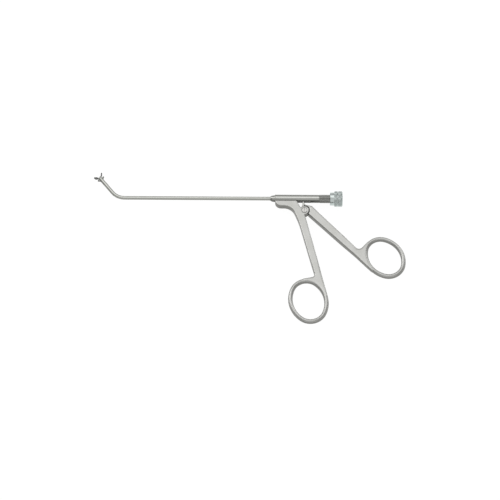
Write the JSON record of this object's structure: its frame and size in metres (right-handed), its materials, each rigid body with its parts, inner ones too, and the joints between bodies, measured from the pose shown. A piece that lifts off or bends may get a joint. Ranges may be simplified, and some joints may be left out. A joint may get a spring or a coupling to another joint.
{
  "type": "sinus forceps",
  "caption": "Curved-shaft sinus forceps with cup jaws that open in the plane of the bend, ring handles and a capped rinsing port at the rear.",
  "frame": {"origin": "on the surface that the instrument lies on, under the middle of its whole outline", "axes": "+X runs along the barrel from the shaft towards the rear cap, +Y is up in the plane of the handles, away from the finger rings, and +Z is up from the surface, square to the handles"},
  "size_m": [0.2127, 0.1142, 0.0105],
  "materials": {
    "handle_steel": "satin, glass-bead finish",
    "screw_steel": "polished",
    "tube_steel": "fine drawn, semi-bright",
    "tip_steel": "polished",
    "rod_steel": "drawn",
    "wire_steel": "drawn",
    "sleeve_steel": "dark, fluted",
    "cap_nickel": "bright nickel plate",
    "seal_rubber": "matt"
  },
  "bodies": {
    "root": {"finger_handle": "handle_steel", "barrel": "tube_steel", "nose_cone": "tube_steel", "shaft_tube": "tube_steel", "tip_fork": "tip_steel", "jaw_pivot_pin": "tip_steel", "handle_pivot_screw": "screw_steel", "port_sleeve": "sleeve_steel", "port_fitting": "cap_nickel"},
    "thumb_handle": {"thumb_handle": "handle_steel"},
    "drive": {"slide_block": "rod_steel", "front_slide_seal": "seal_rubber", "rear_slide_seal": "seal_rubber", "drive_rod": "rod_steel", "rod_ferrule": "rod_steel", "wire_rear_end": "wire_steel"},
    "wire_bend": {"wire_bend": "wire_steel"},
    "pusher": {"tip_pusher": "tip_steel", "tip_ferrule": "tip_steel", "wire_tip_end": "wire_steel", "link_pin": "tip_steel"},
    "upper_jaw": {"upper_jaw": "tip_steel", "upper_tail_pin": "tip_steel"},
    "lower_jaw": {"lower_jaw": "tip_steel", "lower_tail_pin": "tip_steel"},
    "upper_link": {"upper_link": "tip_steel"},
    "lower_link": {"lower_link": "tip_steel"},
    "cap_plug": {"cap_plug": "cap_nickel", "cap_seal": "seal_rubber"},
    "cap_ring": {"cap_ring": "cap_nickel"}
  },
  "joints": [
    {"name": "handle_pivot", "type": "hinge", "parent": "root", "child": "thumb_handle", "pos_m": [0.03736, 0.02822, 0.00525], "axis": [0, 0, -1], "range_deg": [0, 11.67]},
    {"name": "drive_slide", "type": "slide", "parent": "root", "child": "drive", "axis": [1, 0, 0], "range_m": [0, 0.00179]},
    {"name": "wire_turn", "type": "hinge", "parent": "root", "child": "wire_bend", "pos_m": [-0.08532, 0.04852, 0.00525], "axis": [0, 0, 1], "range_deg": [0, 9.77]},
    {"name": "pusher_slide", "type": "slide", "parent": "root", "child": "pusher", "axis": [0.6157, -0.788, 0], "range_m": [0, 0.00179]},
    {"name": "upper_jaw_pivot", "type": "hinge", "parent": "root", "child": "upper_jaw", "pos_m": [-0.10202, 0.05284, 0.00525], "axis": [0, 0, 1], "range_deg": [0, 44.02]},
    {"name": "lower_jaw_pivot", "type": "hinge", "parent": "root", "child": "lower_jaw", "pos_m": [-0.10202, 0.05284, 0.00525], "axis": [0, 0, -1], "range_deg": [0, 44.02]},
    {"name": "upper_link_pivot", "type": "hinge", "parent": "pusher", "child": "upper_link", "pos_m": [-0.10016, 0.05046, 0.00525], "axis": [0, 0, -1], "range_deg": [0, 21.22]},
    {"name": "lower_link_pivot", "type": "hinge", "parent": "pusher", "child": "lower_link", "pos_m": [-0.10016, 0.05046, 0.00525], "axis": [0, 0, 1], "range_deg": [0, 21.22]},
    {"name": "cap_slide", "type": "slide", "parent": "root", "child": "cap_plug", "axis": [1, 0, 0], "range_m": [0, 0.0075]},
    {"name": "cap_turn", "type": "hinge", "parent": "cap_plug", "child": "cap_ring", "pos_m": [0.06341, 0.03802, 0.00525], "axis": [1, 0, 0], "range_deg": [0, 540.27]}
  ],
  "couplings": [
    {"joint": "drive_slide", "follows": "handle_pivot", "m_per_rad": 0.0087848},
    {"joint": "wire_turn", "follows": "handle_pivot", "ratio": 0.83665},
    {"joint": "pusher_slide", "follows": "handle_pivot", "m_per_rad": 0.0087848},
    {"joint": "upper_jaw_pivot", "follows": "handle_pivot", "ratio": 3.7705},
    {"joint": "lower_jaw_pivot", "follows": "handle_pivot", "ratio": 3.7705},
    {"joint": "upper_link_pivot", "follows": "handle_pivot", "ratio": 1.8171},
    {"joint": "lower_link_pivot", "follows": "handle_pivot", "ratio": 1.8171},
    {"joint": "cap_turn", "follows": "cap_slide", "rad_per_m": 1256.6}
  ]
}
